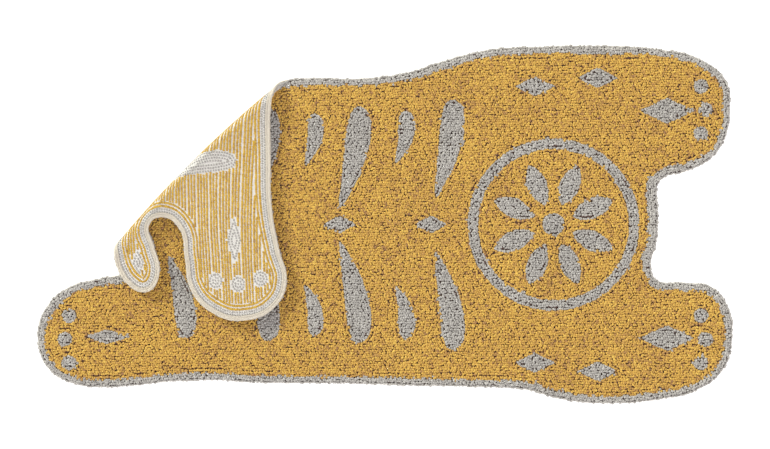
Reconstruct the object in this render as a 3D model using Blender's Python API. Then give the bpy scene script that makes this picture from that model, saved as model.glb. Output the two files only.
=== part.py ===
"""A tufted cotton rug in the shape of an animal hide. It lies flat, pile up, and its far hind leg
and its tail are folded over onto it, so that the underside and the binding show there."""

import math

import bmesh
import bpy
from mathutils import Vector

# Sizes are in metres. The head points along +X, and the underside rests on Z = 0.
RUG_THICKNESS = 0.013  # backing cloth and pile together
LAYER_GAP = 0.002  # between the pile of the flap and the pile that it lies on

# The pile rounds off over its rim in two bands: how far in, and how far down from the top.
RIM_BANDS = ((0.0025, 0.0015), (0.0045, 0.0))
RIM_DROP = 0.0045

# The binding is a cotton tape under the rim, turned up round the cut edge of the backing.
TAPE_THICKNESS = 0.0015
TAPE_WIDTH = 0.0095  # on the underside, inside the turned-up edge
TAPE_LIP_HEIGHT = 0.0045
TAPE_LIFT = 0.0002  # keeps the tape off the surface that the field rests on
SEAM_GAP = 0.00055
STEP_RUN = 0.0005  # the underside steps down to the field over this distance

# The outline, from the muzzle to the tip of the tail. The two sides of the real rug differ, so each
# row gives a place on both: name, far side forward and out, near side forward and out.
OUTLINE = (
    ("muzzle", 0.629, 0.000, 0.629, 0.000),
    ("lip", 0.629, 0.045, 0.624, -0.050),
    ("jaw", 0.628, 0.085, 0.613, -0.092),
    ("front notch", 0.642, 0.107, 0.624, -0.127),
    ("front leg inner", 0.692, 0.121, 0.690, -0.135),
    ("front paw inner", 0.752, 0.152, 0.756, -0.147),
    ("front toes inner", 0.785, 0.202, 0.794, -0.200),
    ("front toes", 0.795, 0.268, 0.800, -0.262),
    ("front toes outer", 0.785, 0.331, 0.782, -0.331),
    ("front paw outer", 0.725, 0.381, 0.722, -0.381),
    ("front leg outer", 0.630, 0.403, 0.630, -0.404),
    ("shoulder", 0.500, 0.411, 0.485, -0.413),
    ("shoulder blade", 0.360, 0.409, 0.400, -0.402),
    ("ribs front", 0.240, 0.402, 0.325, -0.382),
    ("ribs", 0.145, 0.379, 0.200, -0.375),
    ("flank front", 0.055, 0.350, 0.050, -0.372),
    ("flank", -0.050, 0.336, -0.100, -0.367),
    ("loin", -0.180, 0.336, -0.260, -0.366),
    ("hip", -0.320, 0.329, -0.400, -0.360),
    ("thigh", -0.440, 0.336, -0.500, -0.363),
    ("hind leg outer", -0.570, 0.344, -0.580, -0.372),
    ("hind paw outer", -0.660, 0.361, -0.650, -0.376),
    ("hind toes outer", -0.735, 0.378, -0.720, -0.367),
    ("hind toes", -0.791, 0.350, -0.777, -0.332),
    ("hind tiptoe", -0.818, 0.270, -0.801, -0.262),
    ("hind toes inner", -0.796, 0.195, -0.777, -0.186),
    ("hind paw inner", -0.745, 0.147, -0.725, -0.144),
    ("hind leg inner", -0.675, 0.137, -0.650, -0.124),
    ("hind notch outer", -0.614, 0.129, -0.598, -0.112),
    ("hind notch", -0.584, 0.090, -0.574, -0.080),
    ("tail root", -0.598, 0.056, -0.592, -0.046),
    ("tail", -0.645, 0.064, -0.645, -0.038),
    ("tail side", -0.697, 0.073, -0.692, -0.027),
    ("tail end", -0.734, 0.052, -0.728, -0.001),
    ("tail tip", -0.742, 0.027, -0.742, 0.027),
)
STEPS_PER_POINT = 5

# The crease runs at 45 degrees across the hind quarter. OUT points over it, from the flat side.
OUT = Vector((-1.0, 1.0, 0.0)).normalized()
ALONG = Vector((1.0, 1.0, 0.0)).normalized()
CREASE_REACH = 0.405  # of the turned edge from the origin, along OUT
CREASE_BOW = 0.0125  # the middle of the turned edge stands out by this
CREASE_TAIL = -0.480  # the crease's ends, along ALONG
CREASE_FLANK = 0.037
NEAR_LEG_SIDE = -0.080  # what lies past the crease line on this side of Y is the near hind leg
CURL_RADIUS_TAIL = 0.0165  # of the underside where it turns over, at the tail and at the leg
CURL_RADIUS_LEG = 0.0180
SLOPE_TAIL = math.radians(12.0)  # how steeply the flap comes down from the curl
SLOPE_LEG = math.radians(10.0)
FLAP_LANDING_RADIUS = 0.100

# Cuts that let the flat solid bend: counts and distances along OUT and ALONG.
CURL_CUTS = 24
FLAP_CUT_STEP = 0.015
FLAP_LENGTH = 0.420
CROSS_CUT_STEP = 0.060
FIELD_CUT_STEP = 0.200
HALF_LENGTH = 0.800


def smooth_step(share):
    """0 to 1 with level ends, for a share that may lie outside that range."""
    share = min(max(share, 0.0), 1.0)
    return share * share * (3.0 - 2.0 * share)


def curl_at(along):
    """The crease at a place along it: where the curl starts, its radius and the flap's slope."""
    share = (along - CREASE_TAIL) / (CREASE_FLANK - CREASE_TAIL)
    eased = smooth_step(share / 0.6)
    radius = CURL_RADIUS_TAIL + (CURL_RADIUS_LEG - CURL_RADIUS_TAIL) * eased
    slope = SLOPE_TAIL + (SLOPE_LEG - SLOPE_TAIL) * eased
    held = min(max(share, 0.0), 1.0)
    bow = CREASE_BOW * 4.0 * held * (1.0 - held)
    return CREASE_REACH + bow - radius, radius, slope


def stays_flat(point):
    """Whether a point of the flat rug is left where it is when the leg and the tail are folded."""
    return point.dot(OUT) <= curl_at(point.dot(ALONG))[0] or point.y < NEAR_LEG_SIDE


def outline_points():
    """The outline's control points, anticlockwise from the muzzle."""
    far_side = [(forward, out) for _, forward, out, _, _ in OUTLINE]
    near_side = [(forward, out) for _, _, _, forward, out in OUTLINE[1:-1]]
    return far_side + near_side[::-1]


def outline_mesh(guides):
    """A smooth closed curve through the outline's points, as a mesh of edges.

    The origin is at the middle of what stays flat, since the folded part lies within that.
    """
    curve = bpy.data.curves.new("outline_guide", "CURVE")
    curve.dimensions = "2D"
    curve.fill_mode = "NONE"
    curve.resolution_u = STEPS_PER_POINT
    spline = curve.splines.new("BEZIER")
    points = outline_points()
    spline.bezier_points.add(len(points) - 1)
    for knot, (x, y) in zip(spline.bezier_points, points):
        knot.co = (x, y, 0.0)
        knot.handle_left_type = "AUTO"
        knot.handle_right_type = "AUTO"
    spline.use_cyclic_u = True
    guide = bpy.data.objects.new("outline_guide", curve)
    guide.hide_render = True
    guide.display_type = "WIRE"
    guides.objects.link(guide)
    bpy.context.view_layer.update()
    graph = bpy.context.evaluated_depsgraph_get()
    mesh = bpy.data.meshes.new_from_object(guide.evaluated_get(graph))
    flat = [vertex.co for vertex in mesh.vertices if stays_flat(vertex.co)]
    xs = [place.x for place in flat]
    ys = [place.y for place in flat]
    middle = Vector(((min(xs) + max(xs)) / 2, (min(ys) + max(ys)) / 2, 0.0))
    for vertex in mesh.vertices:
        vertex.co -= middle
    return mesh


def outline_face(outline):
    """A new bmesh that holds the whole outline as one face, which looks up."""
    bm = bmesh.new()
    bm.from_mesh(outline)
    bmesh.ops.remove_doubles(bm, verts=bm.verts, dist=1e-5)
    bmesh.ops.contextual_create(bm, geom=bm.edges[:])
    face = bm.faces[:][0]
    face.normal_update()
    if face.normal.z < 0:
        face.normal_flip()
    return bm, face


def inset(bm, face, width, depth=0.0):
    """Insets a face and moves it along its normal. Returns the band round it."""
    made = bmesh.ops.inset_region(
        bm, faces=[face], thickness=width, depth=depth, use_even_offset=True, use_boundary=True
    )
    return made["faces"]


def raise_faces(bm, faces, height):
    """Extrudes faces straight up, leaves the old ones below, and returns the new ones."""
    made = bmesh.ops.extrude_face_region(bm, geom=faces, use_keep_orig=True)["geom"]
    top = [item for item in made if isinstance(item, bmesh.types.BMFace)]
    verts = [item for item in made if isinstance(item, bmesh.types.BMVert)]
    bmesh.ops.translate(bm, verts=verts, vec=(0.0, 0.0, height))
    return top


def curl_profile(past, radius, slope):
    """Where the underside lies, past metres on from the start of the curl, and its heading.

    It turns over, runs down a straight slope, and lands on the layer below in a wide arc.
    """
    rest = 2.0 * RUG_THICKNESS + LAYER_GAP
    turn = math.pi + slope
    if past < radius * turn:
        heading = past / radius
        return radius * math.sin(heading), radius * (1.0 - math.cos(heading)), heading
    past -= radius * turn
    out = -radius * math.sin(slope)
    up = radius * (1.0 + math.cos(slope))
    landing_drop = FLAP_LANDING_RADIUS * (1.0 - math.cos(slope))
    ramp = max(0.0, (up - landing_drop - rest) / math.sin(slope))
    if past < ramp:
        return out - past * math.cos(slope), up - past * math.sin(slope), turn
    out -= ramp * math.cos(slope)
    up -= ramp * math.sin(slope)
    past -= ramp
    turned = min(past / FLAP_LANDING_RADIUS, slope)
    out -= FLAP_LANDING_RADIUS * (math.sin(slope) - math.sin(slope - turned))
    up -= FLAP_LANDING_RADIUS * (math.cos(slope - turned) - math.cos(slope))
    past -= turned * FLAP_LANDING_RADIUS
    return out - past, up, turn - turned


def folded(point):
    """Where a point of the flat rug lies once the hind leg and the tail are folded over."""
    if stays_flat(point):
        return point.copy()
    along = point.dot(ALONG)
    start, radius, slope = curl_at(along)
    out, up, heading = curl_profile(point.dot(OUT) - start, radius, slope)
    out -= point.z * math.sin(heading)
    up += point.z * math.cos(heading)
    return ALONG * along + OUT * (start + out) + Vector((0.0, 0.0, up))


def cut(bm, place, direction, keep):
    """Cuts the faces that keep says yes to along a plane."""
    faces = [face for face in bm.faces if keep(face.calc_center_median())]
    edges = {edge for face in faces for edge in face.edges}
    verts = {vert for face in faces for vert in face.verts}
    bmesh.ops.bisect_plane(
        bm, geom=faces + list(edges) + list(verts), dist=1e-6, plane_co=place, plane_no=direction
    )


def add_bending_cuts(bm):
    """Cuts the flat solid across the curl and the flap, and coarsely elsewhere."""
    first = CREASE_REACH - CURL_RADIUS_LEG
    curl_length = CURL_RADIUS_LEG * (math.pi + SLOPE_TAIL)
    distances = [first + curl_length * step / CURL_CUTS for step in range(CURL_CUTS + 1)]
    while distances[-1] < first + FLAP_LENGTH:
        distances.append(distances[-1] + FLAP_CUT_STEP)
    for distance in distances:
        cut(bm, OUT * distance, OUT, lambda middle: middle.y > NEAR_LEG_SIDE)
    place = CREASE_TAIL - 2 * CROSS_CUT_STEP
    while place < CREASE_FLANK + 2 * CROSS_CUT_STEP:
        cut(bm, ALONG * place, ALONG, lambda middle: middle.dot(OUT) > first)
        place += CROSS_CUT_STEP
    across = Vector((1.0, 0.0, 0.0))
    place = FIELD_CUT_STEP - HALF_LENGTH
    while place < HALF_LENGTH:
        cut(bm, across * place, across, lambda middle: middle.dot(OUT) < first)
        place += FIELD_CUT_STEP


def finished_object(bm, name, material, collection):
    """Bends the flat solid, closes it as triangles and makes it an object with its material."""
    add_bending_cuts(bm)
    bmesh.ops.triangulate(bm, faces=bm.faces[:])
    for vert in bm.verts:
        vert.co = folded(vert.co)
    bmesh.ops.recalc_face_normals(bm, faces=bm.faces[:])
    mesh = bpy.data.meshes.new(name)
    bm.to_mesh(mesh)
    bm.free()
    mesh.materials.append(material)
    mesh.shade_smooth()
    mesh.set_sharp_from_angle(angle=math.radians(40.0))
    rug_part = bpy.data.objects.new(name, mesh)
    collection.objects.link(rug_part)
    return rug_part


def build_rug(outline, material, collection):
    """The backing and its pile as one slab, stepped up under the rim to make room for the tape."""
    bm, face = outline_face(outline)
    bmesh.ops.delete(bm, geom=inset(bm, face, TAPE_THICKNESS + SEAM_GAP), context="FACES")
    rebate = TAPE_LIFT + TAPE_THICKNESS + SEAM_GAP
    bmesh.ops.translate(bm, verts=bm.verts[:], vec=(0.0, 0.0, rebate))
    (top,) = raise_faces(bm, [face], RUG_THICKNESS - RIM_DROP - rebate)
    bmesh.ops.recalc_face_normals(bm, faces=bm.faces[:])
    down_from_top = RIM_DROP
    already_in = 0.0
    for inward, down in RIM_BANDS:
        inset(bm, top, inward - already_in, down_from_top - down)
        already_in = inward
        down_from_top = down
    inset(bm, face, TAPE_WIDTH + SEAM_GAP)
    inset(bm, face, STEP_RUN, rebate)
    return finished_object(bm, "tufted_rug", material, collection)


def build_binding(outline, material, collection):
    """A tape that follows the whole rim, flat under it and turned up along its edge."""
    bm, face = outline_face(outline)
    on_lip = bm.faces.layers.int.new("on_lip")
    face = bm.faces[:][0]
    lip = inset(bm, face, TAPE_THICKNESS)
    for band_face in lip:
        band_face[on_lip] = 1
    tape = inset(bm, face, TAPE_WIDTH)
    bmesh.ops.delete(bm, geom=[face], context="FACES")
    bmesh.ops.translate(bm, verts=bm.verts[:], vec=(0.0, 0.0, TAPE_LIFT))
    top = raise_faces(bm, lip + tape, TAPE_THICKNESS)
    lip_base = [band_face for band_face in top if band_face[on_lip]]
    raise_faces(bm, lip_base, TAPE_LIP_HEIGHT - TAPE_THICKNESS)
    bmesh.ops.delete(bm, geom=lip_base, context="FACES")
    bm.faces.layers.int.remove(on_lip)
    return finished_object(bm, "edge_binding", material, collection)


def cotton(name, colour, roughness):
    """A plain matt material."""
    material = bpy.data.materials.new(name)
    material.use_nodes = True
    shader = material.node_tree.nodes["Principled BSDF"]
    shader.inputs["Base Color"].default_value = (*colour, 1.0)
    shader.inputs["Roughness"].default_value = roughness
    shader.inputs["Metallic"].default_value = 0.0
    return material


def main():
    for old in list(bpy.data.objects):
        bpy.data.objects.remove(old)
    parts = bpy.data.collections.new("hide_rug")
    guides = bpy.data.collections.new("guides")
    for collection in (parts, guides):
        bpy.context.scene.collection.children.link(collection)
    outline = outline_mesh(guides)
    build_rug(outline, cotton("mustard_pile", (0.62, 0.36, 0.06), 0.95), parts)
    build_binding(outline, cotton("cream_tape", (0.78, 0.74, 0.66), 0.9), parts)


main()
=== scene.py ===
# A tufted cotton rug cut to the shape of an animal hide, in metres. It lies pile up, and its far
# hind leg and its tail are folded over onto it. The head points along +X.
import math
import bmesh
import bpy
import numpy as np
from mathutils import Matrix, Vector, kdtree, noise


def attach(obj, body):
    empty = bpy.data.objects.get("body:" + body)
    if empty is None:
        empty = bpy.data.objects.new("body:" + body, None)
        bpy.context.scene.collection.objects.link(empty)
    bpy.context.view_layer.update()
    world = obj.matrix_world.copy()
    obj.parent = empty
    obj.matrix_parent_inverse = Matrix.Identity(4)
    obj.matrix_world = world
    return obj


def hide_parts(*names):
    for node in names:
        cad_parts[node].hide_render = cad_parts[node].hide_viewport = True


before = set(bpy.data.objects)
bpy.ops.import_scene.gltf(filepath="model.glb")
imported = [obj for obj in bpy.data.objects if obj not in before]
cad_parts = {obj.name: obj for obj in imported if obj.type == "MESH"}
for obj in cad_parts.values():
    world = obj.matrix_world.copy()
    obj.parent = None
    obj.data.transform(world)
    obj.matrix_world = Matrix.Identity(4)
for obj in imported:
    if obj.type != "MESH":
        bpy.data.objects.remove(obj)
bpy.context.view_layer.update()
print("frame loaded")

cloth = {
    # the outline from the muzzle to the tip of the tail, a place on each side in a row: far side
    # forward, out, near side forward, out
    "outline": (
        (0.629, 0.000, 0.629, 0.000), (0.629, 0.045, 0.624, -0.050),
        (0.628, 0.085, 0.613, -0.092), (0.642, 0.107, 0.624, -0.127),
        (0.692, 0.121, 0.690, -0.135), (0.752, 0.152, 0.756, -0.147),
        (0.785, 0.202, 0.794, -0.200), (0.795, 0.268, 0.800, -0.262),
        (0.785, 0.331, 0.782, -0.331), (0.725, 0.381, 0.722, -0.381),
        (0.630, 0.403, 0.630, -0.404), (0.500, 0.411, 0.485, -0.413),
        (0.360, 0.409, 0.400, -0.402), (0.240, 0.402, 0.325, -0.382),
        (0.145, 0.379, 0.200, -0.375), (0.055, 0.350, 0.050, -0.372),
        (-0.050, 0.336, -0.100, -0.367), (-0.180, 0.336, -0.260, -0.366),
        (-0.320, 0.329, -0.400, -0.360), (-0.440, 0.336, -0.500, -0.363),
        (-0.570, 0.344, -0.580, -0.372), (-0.660, 0.361, -0.650, -0.376),
        (-0.735, 0.378, -0.720, -0.367), (-0.791, 0.350, -0.777, -0.332),
        (-0.818, 0.270, -0.801, -0.262), (-0.796, 0.195, -0.777, -0.186),
        (-0.745, 0.147, -0.725, -0.144), (-0.675, 0.137, -0.650, -0.124),
        (-0.614, 0.129, -0.598, -0.112), (-0.584, 0.090, -0.574, -0.080),
        (-0.598, 0.056, -0.592, -0.046), (-0.645, 0.064, -0.645, -0.038),
        (-0.697, 0.073, -0.692, -0.027), (-0.734, 0.052, -0.728, -0.001),
        (-0.742, 0.027, -0.742, 0.027),
    ),
    "outlineSteps": 20,
    "longestStep": 0.020,
    "thickness": 0.013,
    "layerGap": 0.002,
    "creaseReach": 0.405,
    "creaseBow": 0.0125,
    "creaseTail": -0.480,
    "creaseFlank": 0.037,
    "nearLegSide": -0.080,
    "curlRadiusTail": 0.0165,
    "curlRadiusLeg": 0.0180,
    "slopeTail": math.radians(12),
    "slopeLeg": math.radians(10),
    "landingRadius": 0.100,
    "easedOver": 0.6,  # the share of the crease along which its curl and slope change
}
outAxis = np.array((-1.0, 1.0, 0.0)) / math.sqrt(2)
alongAxis = np.array((1.0, 1.0, 0.0)) / math.sqrt(2)
chance = np.random.default_rng(11)


def smoothStep(share):
    share = np.clip(share, 0.0, 1.0)
    return share * share * (3.0 - 2.0 * share)


# The crease beside each flat point: its radius, its slope and how far the point lies past its
# start. What lies past it on the near leg's side isn't folded.
def creaseBeside(points):
    share = (points @ alongAxis - cloth["creaseTail"]) / (cloth["creaseFlank"] - cloth["creaseTail"])
    eased = smoothStep(share / cloth["easedOver"])
    radius = cloth["curlRadiusTail"] + (cloth["curlRadiusLeg"] - cloth["curlRadiusTail"]) * eased
    slope = cloth["slopeTail"] + (cloth["slopeLeg"] - cloth["slopeTail"]) * eased
    held = np.clip(share, 0.0, 1.0)
    start = cloth["creaseReach"] + cloth["creaseBow"] * 4.0 * held * (1.0 - held) - radius
    past = points @ outAxis - start
    return radius, slope, start, np.where(points[:, 1] > cloth["nearLegSide"], past, -1.0)


# Where points of the flat rug lie once the leg and the tail are folded over: round a curl, down a
# slope and level again in a wide arc.
def foldOver(points):
    points = np.asarray(points, dtype=float)
    height = points[:, 2]
    radius, slope, start, past = creaseBeside(points)
    arc = cloth["landingRadius"]
    rest = 2.0 * cloth["thickness"] + cloth["layerGap"]
    curlLength = radius * (math.pi + slope)
    drop = radius * (1.0 + np.cos(slope)) - arc * (1.0 - np.cos(slope)) - rest
    ramp = np.maximum(0.0, drop / np.sin(slope))
    onCurl = np.clip(past, 0.0, curlLength) / radius
    onRamp = np.clip(past - curlLength, 0.0, ramp)
    onArc = np.clip((past - curlLength - ramp) / arc, 0.0, slope)
    onFlat = np.maximum(0.0, past - curlLength - ramp - arc * slope)
    out = radius * np.sin(onCurl) - onRamp * np.cos(slope)
    out = out - arc * (np.sin(slope) - np.sin(slope - onArc)) - onFlat
    up = radius * (1.0 - np.cos(onCurl)) - onRamp * np.sin(slope)
    up = up - arc * (np.cos(slope - onArc) - np.cos(slope))
    heading = onCurl - onArc
    out = out - height * np.sin(heading)
    up = up + height * np.cos(heading)
    turned = np.outer(points @ alongAxis, alongAxis) + np.outer(start + out, outAxis)
    turned[:, 2] += up
    return np.where((past > 0.0)[:, None], turned, points)


def outlineCurve(name):
    farSide = [row[:2] for row in cloth["outline"]]
    nearSide = [row[2:] for row in cloth["outline"][1:-1]]
    points = farSide + nearSide[::-1]
    curve = bpy.data.curves.new(name, "CURVE")
    curve.dimensions = "2D"
    curve.fill_mode = "NONE"
    curve.resolution_u = cloth["outlineSteps"]
    spline = curve.splines.new("BEZIER")
    spline.bezier_points.add(len(points) - 1)
    for knot, (x, y) in zip(spline.bezier_points, points):
        knot.co = (x, y, 0.0)
        knot.handle_left_type = "AUTO"
        knot.handle_right_type = "AUTO"
    spline.use_cyclic_u = True
    return curve


def addObject(name, content):
    added = bpy.data.objects.new(name, content)
    bpy.context.scene.collection.objects.link(added)
    return added


def curveMesh(curve):
    guide = addObject(curve.name, curve)
    bpy.context.view_layer.update()
    graph = bpy.context.evaluated_depsgraph_get()
    mesh = bpy.data.meshes.new_from_object(guide.evaluated_get(graph))
    bpy.data.objects.remove(guide)
    return mesh


def meshPoints(mesh):
    points = np.empty(len(mesh.vertices) * 3)
    mesh.vertices.foreach_get("co", points)
    return points.reshape(-1, 3)


# A closed line through points, resampled at an even step.
def evenLoop(points, step):
    closed = np.vstack((points, points[:1]))
    lengths = np.concatenate(((0.0,), np.cumsum(np.linalg.norm(np.diff(closed, axis=0), axis=1))))
    count = max(8, int(round(lengths[-1] / step)))
    places = np.linspace(0.0, lengths[-1], count, endpoint=False)
    return np.column_stack([np.interp(places, lengths, closed[:, axis]) for axis in (0, 1)])


# The left-hand normals of a closed line, which point inwards where it runs anticlockwise.
def loopNormals(loop):
    ahead = np.roll(loop, -1, axis=0) - np.roll(loop, 1, axis=0)
    ahead /= np.linalg.norm(ahead, axis=1)[:, None]
    return np.column_stack((-ahead[:, 1], ahead[:, 0]))


# Points at an even pitch along a closed line, with its direction at each. It skips the jumps that
# are left where points were taken out.
def paced(line, pitch):
    steps = np.roll(line, -1, axis=0) - line
    lengths = np.linalg.norm(steps, axis=1)
    ends = np.cumsum(lengths)
    places = np.arange(0.0, ends[-1], pitch)
    segments = np.searchsorted(ends, places, side="right")
    shares = 1.0 - (ends[segments] - places) / lengths[segments]
    solid = lengths[segments] < cloth["longestStep"]
    segments, shares = segments[solid], shares[solid]
    points = line[segments] + steps[segments] * shares[:, None]
    return points, np.arctan2(steps[segments, 1], steps[segments, 0])


edgeStep = 0.0025
rimSlack = 0.0005  # how much nearer to the rim than its distance a row may come
roughOutline = meshPoints(curveMesh(outlineCurve("outline")))
flatOutline = roughOutline[creaseBeside(roughOutline)[3] <= 0.0]
outlineMiddle = (flatOutline.min(axis=0) + flatOutline.max(axis=0))[:2] / 2
roughOutline = roughOutline[:, :2]
edgeLoop = evenLoop(roughOutline - outlineMiddle, edgeStep)
turning = edgeLoop[:, 0] * np.roll(edgeLoop[:, 1], -1) - np.roll(edgeLoop[:, 0], -1) * edgeLoop[:, 1]
if turning.sum() < 0:
    edgeLoop = edgeLoop[::-1].copy()
edgeNormals = loopNormals(edgeLoop)
edgeTree = kdtree.KDTree(len(edgeLoop))
for index, point in enumerate(edgeLoop):
    edgeTree.insert((point[0], point[1], 0.0), index)
edgeTree.balance()


# For each flat point, how far in from the rim it lies, and the nearest place on the rim.
def fromRim(points):
    nearest = np.array([edgeTree.find((x, y, 0.0))[1] for x, y in points], dtype=int)
    inward = np.einsum("ij,ij->i", points - edgeLoop[nearest], edgeNormals[nearest])
    return inward, nearest


# A row that runs round the rug at one distance from its rim. Returns points and directions.
def rimRow(distance, pitch):
    line = edgeLoop + edgeNormals * distance
    inward, _ = fromRim(line)
    line = line[inward > distance - rimSlack]
    return paced(line, pitch)


# The figures in grey pile. Each is a list of closed loops, and a second loop inside the first
# leaves a hole.
figure = {
    "loopStep": 0.0020,
    "rowSlack": 0.0006,
    "reach": 0.015,  # how far round a figure the distance to it is worked out
    "fullness": 0.72,
    # strokes, round at the flank and pointed near the spine: forward, flank end, spine end,
    # width, and how far the point lies behind the round end
    "strokes": (
        (-0.455, 0.262, 0.070, 0.050, 0.045),
        (-0.265, 0.268, 0.040, 0.056, 0.050),
        (-0.160, 0.255, 0.135, 0.038, 0.026),
        (-0.055, 0.272, 0.036, 0.058, 0.050),
        (0.050, 0.262, 0.140, 0.040, 0.026),
        (0.160, 0.288, 0.060, 0.056, 0.045),
    ),
    "strokeBelly": 0.55,
    "strokeBend": 0.010,
    "rosette": (0.388, 0.0),
    "petals": 8,
    "petalBelly": 1.0,
    "petalLength": 0.100,
    "petalWidth": 0.046,
    "petalStart": 0.048,
    "budRadius": 0.026,
    "ringRadius": 0.186,
    "ringWidth": 0.024,
    # lozenges: forward, out, length, width
    "lozenges": (
        (0.650, 0.262, 0.128, 0.060),
        (-0.640, 0.258, 0.110, 0.034),
        (0.490, 0.338, 0.096, 0.046),
        (0.345, 0.318, 0.096, 0.046),
    ),
    "spineLozenges": ((-0.355, 0.078, 0.042), (-0.105, 0.078, 0.042), (0.105, 0.078, 0.042)),
    "tailLozenge": (-0.676, 0.022, 0.056, 0.032),
    "toeDotRadius": 0.017,
    "toeDotForward": 0.738,
    "toeDotOut": 0.264,
    "toeDotPitch": 0.054,
    "toeDotSetback": 0.010,  # of the outer two behind the middle one
}


def roundLoop(middle, radius):
    count = max(12, int(2 * math.pi * radius / figure["loopStep"]))
    turns = np.linspace(0.0, 2.0 * math.pi, count, endpoint=False)
    return np.column_stack((np.cos(turns), np.sin(turns))) * radius + np.array(middle)


# A petal or stroke along a line. Below 1, belly draws its widest place towards the start.
def taperedLoop(start, end, width, belly, bend=0.0):
    start, end = np.array(start), np.array(end)
    share = np.linspace(0.0, 1.0, 48)
    half = 0.5 * width * np.sin(math.pi * share ** belly) ** figure["fullness"]
    ahead = (end - start) / np.linalg.norm(end - start)
    side = np.array((-ahead[1], ahead[0]))
    spine = start + np.outer(share, end - start) + np.outer(bend * np.sin(math.pi * share), side)
    there = spine + np.outer(half, side)
    back = (spine - np.outer(half, side))[::-1]
    return evenLoop(np.vstack((there, back[1:-1])), figure["loopStep"])


def lozengeLoop(x, y, length, width):
    corners = np.array(((length / 2, 0), (0, width / 2), (-length / 2, 0), (0, -width / 2)))
    loop = evenLoop(corners, figure["loopStep"])
    for _ in range(3):
        loop = (np.roll(loop, 1, axis=0) + loop + np.roll(loop, -1, axis=0)) / 3
    return loop + np.array((x, y))


def drawFigures():
    for side in (1, -1):
        for forward, flankEnd, spineEnd, width, behind in figure["strokes"]:
            start = (forward, side * flankEnd)
            end = (forward - behind, side * spineEnd)
            bend = side * figure["strokeBend"]
            yield [taperedLoop(start, end, width, figure["strokeBelly"], bend)]
        for forward, out, length, width in figure["lozenges"]:
            yield [lozengeLoop(forward, side * out, length, width)]
        for end in (1, -1):
            for step in (-1, 0, 1):
                forward = end * (figure["toeDotForward"] - figure["toeDotSetback"] * abs(step))
                out = side * (figure["toeDotOut"] + figure["toeDotPitch"] * step)
                yield [roundLoop((forward, out), figure["toeDotRadius"])]
    for forward, length, width in figure["spineLozenges"]:
        yield [lozengeLoop(forward, 0.0, length, width)]
    yield [lozengeLoop(*figure["tailLozenge"])]
    middle = np.array(figure["rosette"])
    yield [roundLoop(middle, figure["budRadius"])]
    yield [
        roundLoop(middle, figure["ringRadius"] + figure["ringWidth"] / 2),
        roundLoop(middle, figure["ringRadius"] - figure["ringWidth"] / 2),
    ]
    for petal in range(figure["petals"]):
        turn = 2.0 * math.pi * (petal + 0.5) / figure["petals"]
        ray = np.array((math.cos(turn), math.sin(turn)))
        start = middle + ray * figure["petalStart"]
        end = start + ray * figure["petalLength"]
        yield [taperedLoop(start, end, figure["petalWidth"], figure["petalBelly"])]


# How far inside any figure each flat point lies, and negative outside them all.
def insideFigures(points, figures):
    depth = np.full(len(points), -1.0)
    for loops in figures:
        everyPoint = np.vstack(loops)
        low = everyPoint.min(axis=0) - figure["reach"]
        high = everyPoint.max(axis=0) + figure["reach"]
        near = np.flatnonzero(np.all((points > low) & (points < high), axis=1))
        if not len(near):
            continue
        here = points[near]
        inside = np.zeros(len(near), dtype=bool)
        closest = np.full(len(near), 1.0)
        for loop in loops:
            for a, b in zip(loop, np.roll(loop, -1, axis=0)):
                crosses = (a[1] > here[:, 1]) != (b[1] > here[:, 1])
                rise = b[1] - a[1] if b[1] != a[1] else 1e-12
                inside ^= crosses & (here[:, 0] < a[0] + (here[:, 1] - a[1]) / rise * (b[0] - a[0]))
                closest = np.minimum(closest, np.hypot(here[:, 0] - a[0], here[:, 1] - a[1]))
        depth[near] = np.maximum(depth[near], np.where(inside, closest, -closest))
    return depth


# Rows that follow the edges of the figures, a little inside or, with a negative offset, outside.
def figureRows(figures, offset, pitch):
    rows, directions = [], []
    for loops in figures:
        for loop in loops:
            normals = loopNormals(loop)
            for side in (1, -1):
                line = loop + normals * abs(offset) * side
                depth = insideFigures(line, [loops])
                line = line[np.abs(depth - offset) < figure["rowSlack"]]
                if len(line) < 3:
                    continue
                points, turns = paced(line, pitch)
                rows.append(points)
                directions.append(turns)
    return np.vstack(rows), np.concatenate(directions)


# Keeps each point that lies at least a distance from every point kept before it.
def thinned(points, distance):
    cells = {}
    kept = []
    for index, (x, y) in enumerate(points):
        column, row = int(x // distance), int(y // distance)
        near = [
            other
            for i in (column - 1, column, column + 1)
            for j in (row - 1, row, row + 1)
            for other in cells.get((i, j), ())
        ]
        if all((x - points[o][0]) ** 2 + (y - points[o][1]) ** 2 >= distance ** 2 for o in near):
            cells.setdefault((column, row), []).append(index)
            kept.append(index)
    return np.array(kept, dtype=int)


def slowNoise(points, scale, layer):
    return np.array([noise.noise(Vector((x * scale, y * scale, layer))) for x, y in points])


figures = list(drawFigures())
print(f"{len(figures)} figures drawn")

# Shader node groups and materials


def newSocket(group, name, way, value=None):
    socket = group.interface.new_socket(name=name, in_out=way, socket_type="NodeSocketFloat")
    if value is not None:
        socket.default_value = value


def setInputs(node, values):
    for name, value in values.items():
        node.inputs[name].default_value = value


def addNode(tree, kind, inputs=None, **settings):
    node = tree.nodes.new(kind)
    for name, value in settings.items():
        setattr(node, name, value)
    setInputs(node, inputs or {})
    return node


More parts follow.
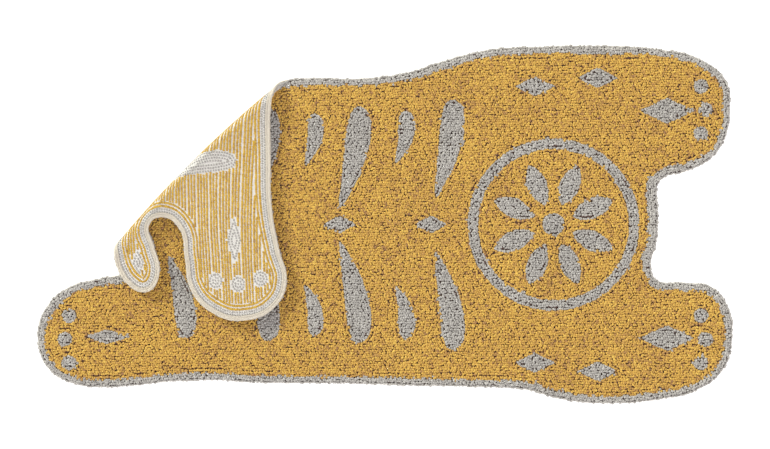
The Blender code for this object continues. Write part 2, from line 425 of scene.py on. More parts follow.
# Flecks where a spun yarn catches light and shade: a mask from 0 to 1, and a height for bump.
def makeFleckGroup():
    group = bpy.data.node_groups.new("yarnFlecks", "ShaderNodeTree")
    newSocket(group, "Scale", "INPUT", 600.0)
    newSocket(group, "Contrast", "INPUT", 1.0)
    newSocket(group, "Mask", "OUTPUT")
    newSocket(group, "Height", "OUTPUT")
    start = addNode(group, "NodeGroupInput")
    end = addNode(group, "NodeGroupOutput")
    place = addNode(group, "ShaderNodeTexCoord")
    fleck = addNode(group, "ShaderNodeTexNoise", {"Detail": 2.0, "Roughness": 0.6})
    centre = addNode(group, "ShaderNodeMath", {1: 0.5}, operation="SUBTRACT")
    stretch = addNode(group, "ShaderNodeMath", operation="MULTIPLY")
    lift = addNode(group, "ShaderNodeMath", {1: 0.5}, operation="ADD", use_clamp=True)
    link = group.links.new
    link(place.outputs["Object"], fleck.inputs["Vector"])
    link(start.outputs["Scale"], fleck.inputs["Scale"])
    link(fleck.outputs["Fac"], centre.inputs[0])
    link(centre.outputs[0], stretch.inputs[0])
    link(start.outputs["Contrast"], stretch.inputs[1])
    link(stretch.outputs[0], lift.inputs[0])
    link(lift.outputs[0], end.inputs["Mask"])
    link(fleck.outputs["Fac"], end.inputs["Height"])
    return group


# A plain weave of threads over and under each other, on the cloth's own flat map.
def makeWeaveGroup():
    group = bpy.data.node_groups.new("plainWeave", "ShaderNodeTree")
    newSocket(group, "Turns", "INPUT", 900.0)
    newSocket(group, "Height", "OUTPUT")
    start = addNode(group, "NodeGroupInput")
    end = addNode(group, "NodeGroupOutput")
    flatMap = addNode(group, "ShaderNodeUVMap", uv_map="flatMap")
    split = addNode(group, "ShaderNodeSeparateXYZ")
    link = group.links.new
    link(flatMap.outputs["UV"], split.inputs["Vector"])
    waves = []
    for axis in ("X", "Y"):
        turn = addNode(group, "ShaderNodeMath", operation="MULTIPLY")
        wave = addNode(group, "ShaderNodeMath", operation="SINE")
        link(split.outputs[axis], turn.inputs[0])
        link(start.outputs["Turns"], turn.inputs[1])
        link(turn.outputs[0], wave.inputs[0])
        waves.append(wave)
    both = addNode(group, "ShaderNodeMath", {2: 0.5}, operation="MULTIPLY_ADD")
    link(waves[0].outputs[0], both.inputs[0])
    link(waves[1].outputs[0], both.inputs[1])
    link(both.outputs[0], end.inputs["Height"])
    return group


fleckGroup = makeFleckGroup()
weaveGroup = makeWeaveGroup()

yarns = {
    # tones from the darkest tuft to the lightest, and the painted shade at a tuft's root, where shade
    # falls between the tufts
    "mustard": {
        "tones": (
            (0.00, (0.275, 0.142, 0.078)),
            (0.22, (0.430, 0.232, 0.082)),
            (0.50, (0.600, 0.360, 0.078)),
            (0.80, (0.705, 0.445, 0.090)),
            (1.00, (0.790, 0.545, 0.118)),
        ),
        # painted shade at the root, where shade falls between the tufts
        "root": (0.400, 0.200, 0.150),
    },
    # the same yarn pressed flat on the back, where no shade lies between its ends
    "mustardBack": {
        "tones": (
            (0.00, (0.240, 0.128, 0.040)),
            (0.22, (0.415, 0.232, 0.043)),
            (0.50, (0.600, 0.378, 0.045)),
            (0.80, (0.705, 0.462, 0.055)),
            (1.00, (0.790, 0.560, 0.080)),
        ),
        # the painted shade at the root, lighter here
        "root": (0.400, 0.225, 0.060),
    },
    "grey": {
        "tones": (
            (0.00, (0.300, 0.280, 0.252)),
            (0.25, (0.360, 0.339, 0.306)),
            (0.55, (0.440, 0.416, 0.376)),
            (0.85, (0.540, 0.516, 0.468)),
            (1.00, (0.600, 0.577, 0.526)),
        ),
        # painted shade at the root, where shade falls between the tufts
        "root": (0.320, 0.299, 0.270),
    },
}


def startMaterial(name, roughness):
    material = bpy.data.materials.new(name)
    material.use_nodes = True
    shader = material.node_tree.nodes["Principled BSDF"]
    setInputs(shader, {"Roughness": roughness, "Specular IOR Level": 0.15})
    return material, material.node_tree, shader


def setStops(ramp, colours):
    stops = ramp.color_ramp.elements
    for index, (place, colour) in enumerate(colours):
        stop = stops[index] if index < 2 else stops.new(place)
        stop.position = place
        stop.color = (*colour, 1.0)


# Yarn. A painted shade at a tuft's root, where shade falls between the tufts, gives way to its tone
# between two shares of its height.
pileFinish = {
    "paintedRootShadeFrom": 0.00,
    "paintedRootShadeTo": 0.64,
    "fleckScale": 520.0,
    "fleckShare": 0.30,
    "bumpDepth": 0.0008,
}
stitchFinish = {
    "paintedRootShadeFrom": -0.5,
    "paintedRootShadeTo": 0.3,
    "fleckScale": 700.0,
    "fleckShare": 0.16,
    "bumpDepth": 0.0004,
}


def tuftMaterial(name, yarn, finish):
    material, tree, shader = startMaterial(name, 0.95)
    setInputs(shader, {"Sheen Weight": 0.12, "Sheen Roughness": 0.6})
    link = tree.links.new
    spun = addNode(tree, "ShaderNodeAttribute", attribute_name="spun")
    split = addNode(tree, "ShaderNodeSeparateColor")
    link(spun.outputs["Color"], split.inputs["Color"])
    tones = addNode(tree, "ShaderNodeValToRGB")
    setStops(tones, yarn["tones"])
    spinning = {"Scale": finish["fleckScale"], "Contrast": 2.2}
    flecks = addNode(tree, "ShaderNodeGroup", spinning, node_tree=fleckGroup)
    change = {"To Min": -finish["fleckShare"], "To Max": finish["fleckShare"]}
    mixTone = addNode(tree, "ShaderNodeMapRange", change)
    tone = addNode(tree, "ShaderNodeMath", operation="ADD", use_clamp=True)
    link(flecks.outputs["Mask"], mixTone.inputs["Value"])
    link(split.outputs["Red"], tone.inputs[0])
    link(mixTone.outputs["Result"], tone.inputs[1])
    link(tone.outputs[0], tones.inputs["Fac"])
    heights = {"From Min": finish["paintedRootShadeFrom"], "From Max": finish["paintedRootShadeTo"]}
    lift = addNode(tree, "ShaderNodeMapRange", heights, interpolation_type="SMOOTHSTEP")
    link(split.outputs["Green"], lift.inputs["Value"])
    # painted shade: the root's colour low on each tuft, giving way to the tone higher up
    shade = addNode(tree, "ShaderNodeMix", {"A": (*yarn["root"], 1.0)}, data_type="RGBA")
    link(lift.outputs["Result"], shade.inputs["Factor"])
    link(tones.outputs["Color"], shade.inputs["B"])
    link(shade.outputs["Result"], shader.inputs["Base Color"])
    bump = addNode(tree, "ShaderNodeBump", {"Strength": 0.7, "Distance": finish["bumpDepth"]})
    link(flecks.outputs["Height"], bump.inputs["Height"])
    link(bump.outputs["Normal"], shader.inputs["Normal"])
    return material


# Woven cotton: its two tones, how far its weave turns in a metre, in radians, and how deep it is
wovens = {
    "canvas": {
        "dark": (0.66, 0.63, 0.57),
        "light": (0.84, 0.81, 0.75),
        "turns": 4200.0,
        "weaveDepth": 0.0004,
        "pileSideShade": (0.37, 0.235, 0.190),  # the yarn roots' own colour, darkened as painted shade between the tufts, on the face that the tufts stand on
    },
    "tape": {
        "dark": (0.545, 0.480, 0.375),
        "light": (0.735, 0.668, 0.545),
        "turns": 5200.0,
        "weaveDepth": 0.0003,
        "paintedLightBands": (  # brightness at distances in from the rim: a painted highlight on the raised lip, painted shade in the stitched groove and at the inner edge
            (0.0000, 1.00), (0.0010, 1.02), (0.0054, 1.00), (0.0064, 0.96), (0.0074, 0.99),
            (0.0100, 0.98), (0.0110, 0.86),
        ),
    },
    "thread": {
        "dark": (0.50, 0.445, 0.355),
        "light": (0.66, 0.605, 0.505),
        "turns": 5200.0,
        "weaveDepth": 0.0002,
    },
}


def wovenMaterial(name, dark, light, turns, weaveDepth, paintedLightBands=(), pileSideShade=None):
    material, tree, shader = startMaterial(name, 0.9)
    link = tree.links.new
    weave = addNode(tree, "ShaderNodeGroup", {"Turns": turns}, node_tree=weaveGroup)
    spinning = {"Scale": 420.0, "Contrast": 1.4}
    flecks = addNode(tree, "ShaderNodeGroup", spinning, node_tree=fleckGroup)
    both = addNode(tree, "ShaderNodeMath", {1: 0.45}, operation="MULTIPLY_ADD", use_clamp=True)
    link(weave.outputs["Height"], both.inputs[0])
    link(flecks.outputs["Mask"], both.inputs[2])
    shades = {"A": (*dark, 1.0), "B": (*light, 1.0)}
    shade = addNode(tree, "ShaderNodeMix", shades, data_type="RGBA")
    link(both.outputs[0], shade.inputs["Factor"])
    colour = shade.outputs["Result"]
    # bands across the tape: a painted highlight on the raised lip, painted shade in the stitched groove
    # and at the inner edge
    if paintedLightBands:
        flatMap = addNode(tree, "ShaderNodeUVMap", uv_map="flatMap")
        split = addNode(tree, "ShaderNodeSeparateXYZ")
        reach = addNode(tree, "ShaderNodeMath", {1: paintedLightBands[-1][0]}, operation="DIVIDE")
        ramp = addNode(tree, "ShaderNodeValToRGB")
        setStops(ramp, [(place / paintedLightBands[-1][0], (value, value, value)) for place, value in paintedLightBands])
        whole = {"Factor": 1.0}
        banded = addNode(tree, "ShaderNodeMix", whole, data_type="RGBA", blend_type="MULTIPLY")
        link(flatMap.outputs["UV"], split.inputs["Vector"])
        link(split.outputs["Y"], reach.inputs[0])
        link(reach.outputs[0], ramp.inputs["Fac"])
        link(colour, banded.inputs["A"])
        link(ramp.outputs["Color"], banded.inputs["B"])
        colour = banded.outputs["Result"]
    # painted shade on the face that the tufts stand on
    if pileSideShade:
        side = addNode(tree, "ShaderNodeAttribute", attribute_name="pileSideShade")
        covered = addNode(tree, "ShaderNodeMix", {"B": (*pileSideShade, 1.0)}, data_type="RGBA")
        link(side.outputs["Fac"], covered.inputs["Factor"])
        link(colour, covered.inputs["A"])
        colour = covered.outputs["Result"]
    link(colour, shader.inputs["Base Color"])
    bump = addNode(tree, "ShaderNodeBump", {"Strength": 0.6, "Distance": weaveDepth})
    link(weave.outputs["Height"], bump.inputs["Height"])
    link(bump.outputs["Normal"], shader.inputs["Normal"])
    return material


mustardPile = tuftMaterial("mustardPile", yarns["mustard"], pileFinish)
greyPile = tuftMaterial("greyPile", yarns["grey"], pileFinish)
mustardStitch = tuftMaterial("mustardStitch", yarns["mustardBack"], stitchFinish)
greyStitch = tuftMaterial("greyStitch", yarns["grey"], stitchFinish)
canvasCotton = wovenMaterial("canvasCotton", **wovens["canvas"])
tapeCotton = wovenMaterial("tapeCotton", **wovens["tape"])
threadCotton = wovenMaterial("threadCotton", **wovens["thread"])
print("materials made")

# Meshes


def shapeArrays(bm):
    bm.verts.index_update()
    points = np.array([vert.co[:] for vert in bm.verts])
    sides = [[vert.index for vert in face.verts] for face in bm.faces]
    bm.free()
    return points, sides


# Many placed copies of one small shape as one mesh. Its colour attribute "spun" holds each copy's
# tone in red and each point's height in green, which sets the painted shade at the root.
def joinCopies(name, shape, copies, tone, rise, material):
    points, sides = shape
    count, each = copies.shape[0], len(points)
    placed = foldOver(copies.reshape(-1, 3))
    corners = np.concatenate([np.array(side) for side in sides])
    starts = np.cumsum([0] + [len(side) for side in sides[:-1]])
    mesh = bpy.data.meshes.new(name)
    mesh.vertices.add(count * each)
    mesh.vertices.foreach_set("co", placed.ravel())
    everyCorner = (np.arange(count)[:, None] * each + corners[None, :]).ravel()
    mesh.loops.add(len(everyCorner))
    mesh.loops.foreach_set("vertex_index", everyCorner)
    everyStart = (np.arange(count)[:, None] * len(corners) + starts[None, :]).ravel()
    mesh.polygons.add(len(everyStart))
    mesh.polygons.foreach_set("loop_start", everyStart)
    mesh.update(calc_edges=True)
    spun = mesh.color_attributes.new("spun", "FLOAT_COLOR", "POINT")
    values = np.ones((count, each, 4))
    values[:, :, 0] = tone[:, None]
    values[:, :, 1] = rise[None, :]
    spun.data.foreach_set("color", values.ravel())
    mesh.shade_smooth()
    return finishPiece(name, mesh, material)


# Copies of a small shape at flat places, each turned its own way. Wide, deep and high are the
# shape's own sizes, a row for each copy or one row for all.
def turnedCopies(places, turns, wide, deep, high):
    cosine, sine = np.cos(turns)[:, None], np.sin(turns)[:, None]
    x = places[:, None, 0] + wide * cosine - deep * sine
    y = places[:, None, 1] + wide * sine + deep * cosine
    return np.stack((x, y, np.broadcast_to(high, x.shape)), axis=2)


def finishPiece(name, mesh, material):
    mesh.materials.append(material)
    piece = addObject(name, mesh)
    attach(piece, "root")
    return piece


# The canvas, a thin sheet, cut finely where it curls and coarsely elsewhere
canvas = {
    "rimInset": 0.0018,
    "underside": 0.0019,
    "thickness": 0.0013,
    "curlCuts": 30,
    "flapStep": 0.012,
    "flapLength": 0.420,
    "crossStep": 0.020,
    "crossReach": (-0.600, 0.200),
    "fieldStep": 0.040,
    "fieldReach": (-0.780, 0.800),
    "sharpEdge": math.radians(50),
}


def cutSheet(bm, place, direction, keep):
    faces = [face for face in bm.faces if keep(face.calc_center_median())]
    edges = {edge for face in faces for edge in face.edges}
    verts = {vert for face in faces for vert in face.verts}
    geom = faces + list(edges) + list(verts)
    bmesh.ops.bisect_plane(bm, geom=geom, dist=1e-6, plane_co=place, plane_no=direction)


def flatCanvas():
    bm = bmesh.new()
    bm.from_mesh(curveMesh(outlineCurve("canvasOutline")))
    bmesh.ops.remove_doubles(bm, verts=bm.verts, dist=1e-5)
    bmesh.ops.translate(bm, verts=bm.verts[:], vec=(-outlineMiddle[0], -outlineMiddle[1], 0.0))
    bmesh.ops.contextual_create(bm, geom=bm.edges[:])
    sheet = bm.faces[:][0]
    sheet.normal_update()
    if sheet.normal.z < 0:
        sheet.normal_flip()
    rim = bmesh.ops.inset_region(
        bm, faces=[sheet], thickness=canvas["rimInset"], use_even_offset=True, use_boundary=True
    )
    bmesh.ops.delete(bm, geom=rim["faces"], context="FACES")
    return bm


def cutCanvas(bm):
    first = cloth["creaseReach"] - cloth["curlRadiusLeg"]
    curlLength = cloth["curlRadiusLeg"] * (math.pi + cloth["slopeTail"])
    places = [first + curlLength * step / canvas["curlCuts"] for step in range(canvas["curlCuts"])]
    places += list(np.arange(first + curlLength, first + canvas["flapLength"], canvas["flapStep"]))
    out, along = Vector(outAxis), Vector(alongAxis)
    for place in places:
        cutSheet(bm, out * place, out, lambda middle: middle.y > cloth["nearLegSide"])
    for place in np.arange(*canvas["crossReach"], canvas["crossStep"]):
        cutSheet(bm, along * place, along, lambda middle: middle.dot(out) > first)
    for place in np.arange(*canvas["fieldReach"], canvas["fieldStep"]):
        for axis in (Vector((1.0, 0.0, 0.0)), Vector((0.0, 1.0, 0.0))):
            cutSheet(bm, axis * place, axis, lambda middle: middle.dot(out) < first)
    bmesh.ops.triangulate(bm, faces=bm.faces[:])


def makeCanvas():
    bm = flatCanvas()
    cutCanvas(bm)
    bmesh.ops.translate(bm, verts=bm.verts[:], vec=(0.0, 0.0, canvas["underside"]))
    bmesh.ops.solidify(bm, geom=bm.faces[:], thickness=-canvas["thickness"])
    # marks the face that the tufts stand on, which takes a painted shade
    pileSideShade = bm.verts.layers.float.new("pileSideShade")
    for vert in bm.verts:
        vert[pileSideShade] = float(vert.co.z > canvas["underside"] + canvas["thickness"] / 2)
    bmesh.ops.recalc_face_normals(bm, faces=bm.faces[:])
    mesh = foldedMesh("canvasBacking", bm, lambda flat: flat[:, :2], canvas["sharpEdge"])
    piece = finishPiece("canvasBacking", mesh, canvasCotton)
    return piece


# Stores the flat cloth's coordinates as the map that the weave reads, then folds the cloth.
def foldedMesh(name, bm, toMap, sharpEdge):
    mesh = bpy.data.meshes.new(name)
    bm.to_mesh(mesh)
    bm.free()
    flat = meshPoints(mesh)
    corners = np.empty(len(mesh.loops), dtype=int)
    mesh.loops.foreach_get("vertex_index", corners)
    flatMap = mesh.uv_layers.new(name="flatMap")
    flatMap.data.foreach_set("uv", toMap(flat)[corners].ravel())
    mesh.vertices.foreach_set("co", foldOver(flat).ravel())
    mesh.update()
    mesh.shade_smooth()
    mesh.set_sharp_from_angle(angle=sharpEdge)
    return mesh


canvasBacking = makeCanvas()
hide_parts("tufted_rug")
print("canvas made")

# The binding tape, one section swept round the rim: in from the rim, up from the floor
tape = {
    "section": (
        (0.0000, 0.0014), (0.0000, 0.0038), (0.0004, 0.0046), (0.0010, 0.0047), (0.0015, 0.0042),
        (0.0017, 0.0024), (0.0024, 0.0018), (0.0098, 0.0018), (0.0107, 0.0015), (0.0110, 0.0010),
        (0.0105, 0.0004), (0.0092, 0.0002), (0.0078, 0.0003), (0.0070, 0.0008), (0.0062, 0.0009),
        (0.0054, 0.0005), (0.0042, 0.0002), (0.0024, 0.0001), (0.0008, 0.0004),
    ),
    "stitchLine": 0.0066,
    "stitchPitch": 0.0042,
    "stitchLength": 0.0032,
    "stitchWidth": 0.0009,
    "stitchRise": 0.0005,
    "stitchSeat": 0.0009,
    "sharpEdge": math.radians(60),
}


def makeTape():
    section = bpy.data.curves.new("tapeSection", "CURVE")
    section.dimensions = "2D"
    spline = section.splines.new("POLY")
    spline.points.add(len(tape["section"]) - 1)
    for knot, (inward, up) in zip(spline.points, tape["section"]):
        knot.co = (inward, up, 0.0, 1.0)
    spline.use_cyclic_u = True
    sectionGuide = addObject("tapeSection", section)
    path = outlineCurve("tapePath")
    path.bevel_mode = "OBJECT"
    path.bevel_object = sectionGuide
    swept = curveMesh(path)
    bpy.data.objects.remove(sectionGuide)
    bm = bmesh.new()
    bm.from_mesh(swept)
    bmesh.ops.remove_doubles(bm, verts=bm.verts, dist=1e-6)
    bmesh.ops.translate(bm, verts=bm.verts[:], vec=(-outlineMiddle[0], -outlineMiddle[1], 0.0))
    bmesh.ops.recalc_face_normals(bm, faces=bm.faces[:])

    def alongTape(flat):
        inward, nearest = fromRim(flat[:, :2])
        return np.column_stack((nearest * edgeStep, inward))

    mesh = foldedMesh("bindingTape", bm, alongTape, tape["sharpEdge"])
    piece = finishPiece("bindingTape", mesh, tapeCotton)
    return piece


bindingTape = makeTape()
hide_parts("edge_binding")
print("tape made")

# The pile
pile = {
    "alongPitch": 0.0052,
    "rimPitch": 0.0043,
    "rowPitch": 0.0054,
    "borderWidth": 0.0172,
    "borderUneven": 0.0022,
    "headBorder": 0.0065,
    "borderRagged": 0.0018,
    "figureRagged": 0.0013,
    "borderRows": (0.0026, 0.0076, 0.0126, 0.0176, 0.0226),
    "fieldFrom": 0.0258,
    "figureEdge": 0.0026,
    "figureClear": 0.0046,
    "fieldReach": (0.84, 0.42),
    "closest": 0.0037,
    "jitter": 0.0013,
    "headFrom": 0.55,
    "headHalf": 0.11,
    "root": 0.0028,
    "shortest": 0.0070,
    "tallest": 0.0130,
    "heightSpread": 0.00052,
    "heightDrift": 0.0006,
    "heightLoss": 0.0005,
    "grooveWidth": 0.0034,
    "grooveDepth": 0.0010,
    "footScale": (0.85, 0.85, 0.0),
    "shoulderScale": (1.12, 1.12, 1.5),
    "halfLength": 0.0042,
    "halfWidth": 0.0030,
    "sizes": (0.88, 1.14),
    "widths": (0.85, 1.15),
    "lumps": (0.84, 1.16),
    "lean": 0.0018,
    "leanShare": 0.7,
    "leanSpread": 0.0007,
    "rimWidth": 0.0090,
    "rimLean": 0.0012,
    "rimRow": 0.0045,
    "rimTwist": 0.35,
    "rimDrop": 0.0042,
    # tone: 0 is the yarn's darkest and 1 its lightest
    "tone": 0.59,
    "toneSpread": 0.13,
    "toneDrift": 0.10,
    "toneMottle": 0.10,
    # painted highlight: the border lighter for the light that its outward-leaning tufts catch
    "borderHighlight": 0.06,
    # painted shade: tufts darker along the grooves at the edges of the border and the figures
    "grooveShade": 0.10,
    "darkShare": 0.11,
    "darkDrop": 0.22,
    # slow noises: scale and layer
    "borderNoise": (7.0, 2.0),
    "swirlNoise": (38.0, 3.0),
    "heightNoise": (22.0, 7.0),
    "driftNoise": (9.0, 1.0),
    "mottleNoise": (60.0, 5.0),
    # where the mustard pile is divided along the rug
    "hindEnd": -0.28,
    "frontStart": 0.20,
}


def makeTuftShape():
    bm = bmesh.new()
    bmesh.ops.create_icosphere(bm, subdivisions=1, radius=1.0)
    foot = min(bm.verts, key=lambda vert: vert.co.z)
    bmesh.ops.dissolve_verts(bm, verts=[foot])
    low = [vert for vert in bm.verts if vert.co.z <= 0.0]
    high = [vert for vert in bm.verts if 0.0 < vert.co.z <= 0.9]
    bmesh.ops.scale(bm, vec=pile["footScale"], verts=low)
    bmesh.ops.scale(bm, vec=pile["shoulderScale"], verts=high)
    return shapeArrays(bm)


def placeTufts():
    rows = [rimRow(pile["borderRows"][0], pile["rimPitch"])[0]]
    rows += [rimRow(distance, pile["alongPitch"])[0] for distance in pile["borderRows"][1:]]
    rows.append(figureRows(figures, pile["figureEdge"], pile["alongPitch"])[0])
    rows.append(figureRows(figures, -pile["figureEdge"], pile["alongPitch"])[0])
    reachAlong, reachAcross = pile["fieldReach"]
    along = np.arange(-reachAlong, reachAlong, pile["alongPitch"])
    across = np.arange(-reachAcross, reachAcross, pile["rowPitch"])
    x, y = np.meshgrid(along, across)
    x = x + (np.arange(len(across)) % 2)[:, None] * pile["alongPitch"] / 2
    grid = np.column_stack((x.ravel(), y.ravel()))
    inward, _ = fromRim(grid)
    grid = grid[inward > pile["fieldFrom"]]
    grid = grid[np.abs(insideFigures(grid, figures)) > pile["figureClear"]]
    rows.append(grid)
    tufts = np.vstack(rows)
    tufts = tufts[thinned(tufts, pile["closest"])]
    return tufts + chance.uniform(-pile["jitter"], pile["jitter"], tufts.shape)


def makePile():
    shape = makeTuftShape()
    points = shape[0]
    tufts = placeTufts()
    count = len(tufts)
    inward, nearest = fromRim(tufts)
    depth = insideFigures(tufts, figures)
    atHead = (tufts[:, 0] > pile["headFrom"]) & (np.abs(tufts[:, 1]) < pile["headHalf"])
    uneven = slowNoise(edgeLoop[nearest], *pile["borderNoise"])
    borderWidth = pile["borderWidth"] + pile["borderUneven"] * 2.0 * uneven
    borderWidth = borderWidth + pile["headBorder"] * atHead
    border = inward < borderWidth + pile["borderRagged"] * chance.normal(0.0, 1.0, count)
    grey = border | (depth > pile["figureRagged"] * chance.normal(0.0, 1.0, count))
    turn = chance.uniform(0.0, math.pi, count)
    rimTurn = np.arctan2(-edgeNormals[nearest, 0], edgeNormals[nearest, 1])
    rimTurn += pile["rimTwist"] * chance.normal(0.0, 1.0, count)
    turn = np.where(inward < pile["rimRow"], rimTurn, turn)
    swirl = slowNoise(tufts, *pile["swirlNoise"]) * 2.0 * math.pi
    size = chance.uniform(*pile["sizes"], count)
    width = chance.uniform(*pile["widths"], count)
    rim = np.clip(1.0 - inward / pile["rimWidth"], 0.0, 1.0)
    figureGroove = np.exp(-((depth / pile["grooveWidth"]) ** 2))
    borderGroove = np.exp(-(((inward - borderWidth) / pile["grooveWidth"]) ** 2))
    groove = np.maximum(figureGroove, borderGroove)
    height = pile["tallest"] - np.abs(chance.normal(0.0, pile["heightSpread"], count))
    height += pile["heightDrift"] * slowNoise(tufts, *pile["heightNoise"]) - pile["heightLoss"]
    height -= pile["grooveDepth"] * groove + pile["rimDrop"] * rim ** 1.5
    height = np.clip(height, pile["shortest"], pile["tallest"])
    tone = pile["tone"] + pile["toneSpread"] * chance.normal(0.0, 1.0, count)
    tone += pile["toneDrift"] * slowNoise(tufts, *pile["driftNoise"])
    # the border made lighter here as a painted highlight
    tone += pile["toneMottle"] * slowNoise(tufts, *pile["mottleNoise"]) + pile["borderHighlight"] * border
    # painted shade along the grooves
    tone -= pile["grooveShade"] * groove
    dark = chance.random(count) < pile["darkShare"]
    tone = np.clip(np.where(dark, tone - pile["darkDrop"], tone), 0.0, 1.0)
    lumps = chance.uniform(*pile["lumps"], (count, len(points)))
    wide = points[None, :, 0] * lumps * (pile["halfLength"] * size)[:, None]
    deep = points[None, :, 1] * lumps * (pile["halfWidth"] * size * width)[:, None]
    rise = points[:, 2].clip(0.0, 1.0)
    high = pile["root"] + (height - pile["root"])[:, None] * rise[None, :]
    copies = turnedCopies(tufts, turn, wide, deep, high)
    for axis, swirled in enumerate((np.cos(swirl), np.sin(swirl))):
        lean = pile["lean"] * swirled * pile["leanShare"]
        lean += chance.normal(0.0, pile["leanSpread"], count)
        lean -= edgeNormals[nearest, axis] * pile["rimLean"] * rim
        copies[:, :, axis] += lean[:, None] * rise ** 1.5
    hind, front = tufts[:, 0] < pile["hindEnd"], tufts[:, 0] > pile["frontStart"]
    parts = (
        ("mustardPileHind", ~grey & hind, mustardPile, "mustard_pile"),
        ("mustardPileBack", ~grey & ~hind & ~front, mustardPile, "mustard_pile"),
        ("mustardPileFront", ~grey & front, mustardPile, "mustard_pile"),
        ("greyPileBorder", border, greyPile, "grey_pile"),
        ("greyPileFigures", grey & ~border, greyPile, "grey_pile"),
    )
    pieces = []
    for name, chosen, material, slotName in parts:
        piece = joinCopies(name, shape, copies[chosen], tone[chosen], rise, material)
        pieces.append(piece)
        print(f"{name}: {int(chosen.sum())} tufts")
    return pieces


pilePieces = makePile()
print("pile made")

# The stitches on the underside
stitch = {
    "pitch": 0.0042,
    "pitchBelow": 0.0074,
    "groupRows": (4, 3),
    "rowPitch": 0.0067,
    "groupSpace": 0.0018,
    "reachAcross": 0.43,
    "reachAlong": 0.83,
    "wobble": 0.0012,
    "wobbleStretch": 4.0,
    "wobbleNoise": (14.0, 9.0),  # scale and layer
    "drift": 0.0040,
    "driftNoise": (5.0, 4.0),
    "jitter": 0.00035,
    "greyRows": (0.0126, 0.0182),
    "mustardRows": (0.0247, 0.0323),
    "fieldFrom": 0.0362,
    "figureRows": (0.0030, 0.0098, 0.0166, 0.0234),
    "figureClear": 0.0018,
    "closest": 0.0036,
    "halfLength": 0.0026,
    "halfLengthBelow": 0.0036,
    "greyPitch": 0.0060,
    "sizes": (0.90, 1.12),
    "height": 0.0011,
    "seat": 0.0018,
    "twist": 0.30,
    "twistSpread": 0.12,
    "mustard": {"halfWidth": 0.0034, "tone": 0.43},
    "grey": {"halfWidth": 0.0026, "tone": 0.36},
    "toneSpread": 0.09,
    "shownFrom": 0.340,
}


def makeStitchShape(fine):
    bm = bmesh.new()
    if fine:
        bmesh.ops.create_icosphere(bm, subdivisions=1, radius=1.0)
    else:
        bmesh.ops.create_cone(bm, cap_ends=True, segments=4, radius1=1.15, radius2=0.0, depth=1.0)
        bmesh.ops.translate(bm, verts=bm.verts[:], vec=(0.0, 0.0, 0.5))
        bmesh.ops.rotate(bm, verts=bm.verts[:], matrix=Matrix.Rotation(math.pi, 3, "X"))
    return shapeArrays(bm)


# Which flat points come to the top of the flap or near it.
def shownAbove(points):
    return (points @ outAxis[:2] > stitch["shownFrom"]) & (points[:, 1] > cloth["nearLegSide"])


def stitchGrid(pitch):
    rows = []
    place, group = -stitch["reachAcross"], 0
    while place < stitch["reachAcross"]:
        for _ in range(stitch["groupRows"][group % 2]):
            rows.append(place)
            place += stitch["rowPitch"]
        place += stitch["groupSpace"]
        group += 1
    along = np.arange(-stitch["reachAlong"], stitch["reachAlong"], pitch)
    x, y = np.meshgrid(along, np.array(rows))
    x = x + chance.uniform(0.0, pitch, len(rows))[:, None]
    grid = np.column_stack((x.ravel(), y.ravel()))
    flat = grid.copy()
    stretched = flat * np.array((1.0, stitch["wobbleStretch"]))
    grid[:, 1] += stitch["wobble"] * slowNoise(stretched, *stitch["wobbleNoise"])
    grid[:, 1] += stitch["drift"] * slowNoise(flat, *stitch["driftNoise"])
    return grid


# A line of stitches, close together on the flap and further apart where the back faces the floor.
def stitchLine(pitch, makeLine, *settings):
    near, nearTurns = makeLine(*settings, pitch)
    below, belowTurns = makeLine(*settings, stitch["pitchBelow"])
    onFlap, onFloor = shownAbove(near), ~shownAbove(below)
    turns = np.concatenate((nearTurns[onFlap], belowTurns[onFloor]))
    return np.vstack((near[onFlap], below[onFloor])), turns


def placeStitches():
    greyPitch, pitch = stitch["greyPitch"], stitch["pitch"]
    greyLines = [stitchLine(greyPitch, rimRow, distance) for distance in stitch["greyRows"]]
    greyLines += [stitchLine(greyPitch, figureRows, figures, offset) for offset in stitch["figureRows"]]
    mustardLines = [stitchLine(pitch, rimRow, distance) for distance in stitch["mustardRows"]]
    above, below = stitchGrid(pitch), stitchGrid(stitch["pitchBelow"])
    grid = np.vstack((above[shownAbove(above)], below[~shownAbove(below)]))
    inward, _ = fromRim(grid)
    grid = grid[inward > stitch["fieldFrom"]]
    grid = grid[insideFigures(grid, figures) < -stitch["figureClear"]]
    mustardLines.append((grid, np.zeros(len(grid))))
    places = np.vstack([line for line, _ in greyLines + mustardLines])
    turns = np.concatenate([turn for _, turn in greyLines + mustardLines])
    greyCount = sum(len(line) for line, _ in greyLines)
    grey = np.arange(len(places)) < greyCount
    kept = thinned(places, stitch["closest"])
    places = places[kept] + chance.uniform(-stitch["jitter"], stitch["jitter"], (len(kept), 2))
    return places, turns[kept], grey[kept]


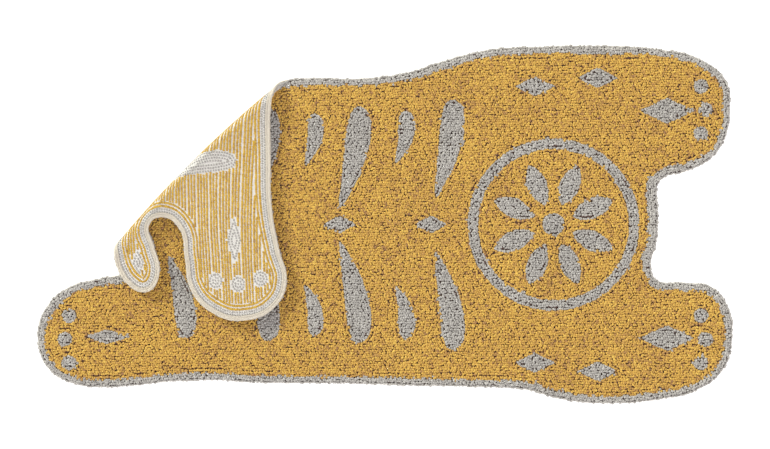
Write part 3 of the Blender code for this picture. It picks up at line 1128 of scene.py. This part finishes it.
def makeStitches():
    places, turns, grey = placeStitches()
    shown = shownAbove(places)
    pieces = []
    for name, chosen, fine, material, slotName in (
        ("mustardStitchesShown", ~grey & shown, True, mustardStitch, "mustard_pile"),
        ("greyStitchesShown", grey & shown, True, greyStitch, "grey_pile"),
        ("mustardStitchesBelow", ~grey & ~shown, False, mustardStitch, "mustard_pile"),
        ("greyStitchesBelow", grey & ~shown, False, greyStitch, "grey_pile"),
    ):
        shape = makeStitchShape(fine)
        points = shape[0]
        count = int(chosen.sum())
        turn = turns[chosen] + stitch["twist"] + chance.normal(0.0, stitch["twistSpread"], count)
        size = chance.uniform(*stitch["sizes"], count)
        halfLength = stitch["halfLength"] if fine else stitch["halfLengthBelow"]
        look = stitch["grey"] if material is greyStitch else stitch["mustard"]
        wide = np.outer(halfLength * size, points[:, 0])
        deep = np.outer(look["halfWidth"] * size, points[:, 1])
        high = stitch["seat"] + points[None, :, 2] * stitch["height"]
        copies = turnedCopies(places[chosen], turn, wide, deep, high)
        tone = look["tone"] + stitch["toneSpread"] * chance.normal(0.0, 1.0, count)
        rise = np.clip(-points[:, 2], 0.0, 1.0)
        piece = joinCopies(name, shape, copies, np.clip(tone, 0.0, 1.0), rise, material)
        pieces.append(piece)
        print(f"{name}: {count} stitches")
    return pieces


stitchPieces = makeStitches()


# The thread that holds the tape, in short stitches along its groove
def makeTapeThread():
    shape = makeStitchShape(True)
    points = shape[0]
    places, turns = rimRow(tape["stitchLine"], tape["stitchPitch"])
    wide = points[None, :, 0] * tape["stitchLength"] / 2
    deep = points[None, :, 1] * tape["stitchWidth"] / 2
    high = tape["stitchSeat"] + points[None, :, 2] * tape["stitchRise"]
    copies = turnedCopies(places, turns, wide, deep, high)
    plain = np.ones(len(places))
    piece = joinCopies("tapeThread", shape, copies, plain, points[:, 2], threadCotton)
    return piece


tapeThread = makeTapeThread()
print("stitches made")

# The studio
studio = {
    "pixelSize": 0.002302,
    "pictureWidth": 770,
    "lens": 100.0,
    "floorSize": 12.0,
    "floorDrop": 0.0002,
    "floorColour": (0.85, 0.85, 0.85, 1.0),
    "keyFrom": (-2.5, 2.2, 1.25),
    "keySpread": math.radians(16),
    "keyStrength": 3.75,
    "keyColour": (1.0, 1.035, 0.965),
    "fillFrom": (1.6, -2.4, 1.9),
    "fillSpread": math.radians(60),
    "fillStrength": 2.35,
    "fillColour": (1.0, 1.0, 1.0),
    "worldStrength": 0.405,
    "worldColour": (1.0, 0.95, 1.05, 1.0),
    "floorGlow": 0.55,
}


def makeStudio():
    bm = bmesh.new()
    bmesh.ops.create_grid(bm, x_segments=1, y_segments=1, size=studio["floorSize"] / 2)
    mesh = bpy.data.meshes.new("floor")
    bm.to_mesh(mesh)
    bm.free()
    floor = addObject("floor", mesh)
    floor.location.z = -studio["floorDrop"]
    floorPaint, _, shader = startMaterial("floorPaint", 0.8)
    white = (1.0, 1.0, 1.0, 1.0)
    setInputs(shader, {"Base Color": studio["floorColour"], "Emission Color": white})
    setInputs(shader, {"Emission Strength": studio["floorGlow"]})
    mesh.materials.append(floorPaint)

    for name in ("key", "fill"):
        light = bpy.data.lights.new(name + "Light", "SUN")
        light.angle = studio[name + "Spread"]
        light.energy = studio[name + "Strength"]
        light.color = studio[name + "Colour"]
        lamp = addObject(name + "Light", light)
        lamp.location = studio[name + "From"]
        lamp.rotation_euler = (-Vector(studio[name + "From"])).to_track_quat("-Z", "Y").to_euler()

    world = bpy.data.worlds.new("studioLight")
    world.use_nodes = True
    tree = world.node_tree
    lighting = tree.nodes["Background"]
    setInputs(lighting, {"Color": studio["worldColour"], "Strength": studio["worldStrength"]})
    # what the camera sees past the floor
    backdrop = addNode(tree, "ShaderNodeBackground", {"Color": white})
    seen = addNode(tree, "ShaderNodeLightPath")
    either = addNode(tree, "ShaderNodeMixShader")
    tree.links.new(seen.outputs["Is Camera Ray"], either.inputs["Fac"])
    tree.links.new(lighting.outputs["Background"], either.inputs[1])
    tree.links.new(backdrop.outputs["Background"], either.inputs[2])
    tree.links.new(either.outputs["Shader"], tree.nodes["World Output"].inputs["Surface"])
    bpy.context.scene.world = world

    cameraData = bpy.data.cameras.new("aboveCamera")
    cameraData.lens = studio["lens"]
    camera = addObject("aboveCamera", cameraData)
    across = studio["pixelSize"] * studio["pictureWidth"]
    camera.location = (0.0, 0.0, across * studio["lens"] / cameraData.sensor_width + cloth["thickness"])
    bpy.context.scene.camera = camera
    bpy.context.scene.view_settings.view_transform = "Standard"


makeStudio()
print("studio made")
